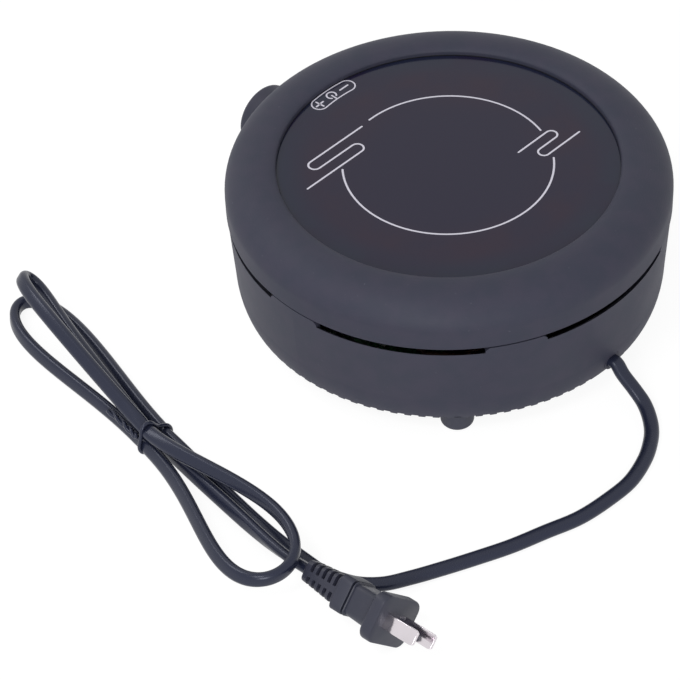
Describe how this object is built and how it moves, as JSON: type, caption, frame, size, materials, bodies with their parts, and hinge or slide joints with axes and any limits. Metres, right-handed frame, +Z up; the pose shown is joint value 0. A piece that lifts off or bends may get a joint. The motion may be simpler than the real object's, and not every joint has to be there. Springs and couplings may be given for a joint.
{
  "type": "portable hot plate",
  "caption": "Round portable hot plate: a glass cooking disc in a vented housing on feet, with a push-and-turn knob on its side and a tied mains lead with a plug.",
  "frame": {"origin": "on the table under the feet, midway between the knob's front and the rear of the housing", "axes": "+Z up out of the cooking surface, -Y out of the knob's front, +Y to the side where the lead leaves"},
  "size_m": [0.2842, 0.272, 0.073],
  "materials": {
    "shell_plastic": "fine matte grain",
    "knob_plastic": "smooth matte",
    "foot_rubber": "matte",
    "glass_ceramic": "polished, tinted through",
    "silicone": "matte",
    "sheet_steel": "mill finish",
    "screw_steel": "zinc plated",
    "insulation_board": "dull fibre",
    "heater_alloy": "oxidised",
    "ceramic": "unglazed",
    "black_plastic": "moulded",
    "copper": "enamelled windings",
    "circuit_board": "solder mask",
    "sink_aluminium": "extruded",
    "component_yellow": "moulded",
    "component_green": "moulded",
    "fuse_ceramic": "glazed",
    "wire_brown": "insulated",
    "wire_white": "glass sleeve",
    "wire_red": "insulated",
    "wire_grey": "flat cable",
    "cord_jacket": "satin",
    "plug_plastic": "moulded satin",
    "plug_metal": "nickel plated"
  },
  "bodies": {
    "base": {"top_shell": "shell_plastic", "bottom_shell": "shell_plastic", "glass_seal": "silicone", "glass_pad": "silicone", "glass_plate": "glass_ceramic", "glass_retainer": "sheet_steel", "heat_shield": "sheet_steel", "dish_springs": "sheet_steel", "heater_dish": "sheet_steel", "retainer_screws": "screw_steel", "shell_screws": "screw_steel", "fan_screws": "screw_steel", "board_screws": "screw_steel", "clamp_screws": "screw_steel", "insulation": "insulation_board", "heater_ribbon": "heater_alloy", "heater_terminal": "ceramic", "limiter_tube": "ceramic", "limiter_head": "ceramic", "foot_rear_right": "foot_rubber", "foot_rear_left": "foot_rubber", "foot_front_left": "foot_rubber", "foot_front_right": "foot_rubber", "fan_frame": "black_plastic", "fan_stator": "copper", "control_board": "circuit_board", "heat_sink": "sink_aluminium", "triac": "black_plastic", "capacitor": "component_yellow", "transformer": "component_yellow", "terminal_block": "component_green", "fuse": "fuse_ceramic", "encoder_case": "sheet_steel", "encoder_nut": "screw_steel", "cord_gland": "shell_plastic", "cord_inner": "cord_jacket", "cord_clamp": "black_plastic", "mains_wires": "wire_brown", "heater_wires": "wire_white", "fan_wires": "wire_red", "encoder_wires": "wire_grey", "cord_lead": "cord_jacket", "cord_hank": "cord_jacket", "hank_tie": "black_plastic", "plug_body": "plug_plastic", "plug_blades": "plug_metal"},
    "plunger": {"encoder_plunger": "black_plastic"},
    "dial": {"knob": "knob_plastic", "knob_shaft": "screw_steel"},
    "fan_wheel": {"fan_rotor": "black_plastic"}
  },
  "joints": [
    {"name": "knob_push", "type": "slide", "parent": "base", "child": "plunger", "axis": [0, 1, 0], "range_m": [0, 0.0008], "stiffness_N_per_m": 2500, "springref_m": -0.0004},
    {"name": "knob_turn", "type": "hinge", "parent": "plunger", "child": "dial", "pos_m": [0, -0.095, 0.033], "axis": [0, -1, 0], "continuous": true},
    {"name": "fan_spin", "type": "hinge", "parent": "base", "child": "fan_wheel", "pos_m": [0, 0.01009, 0.022], "axis": [0, 0, 1], "continuous": true}
  ]
}
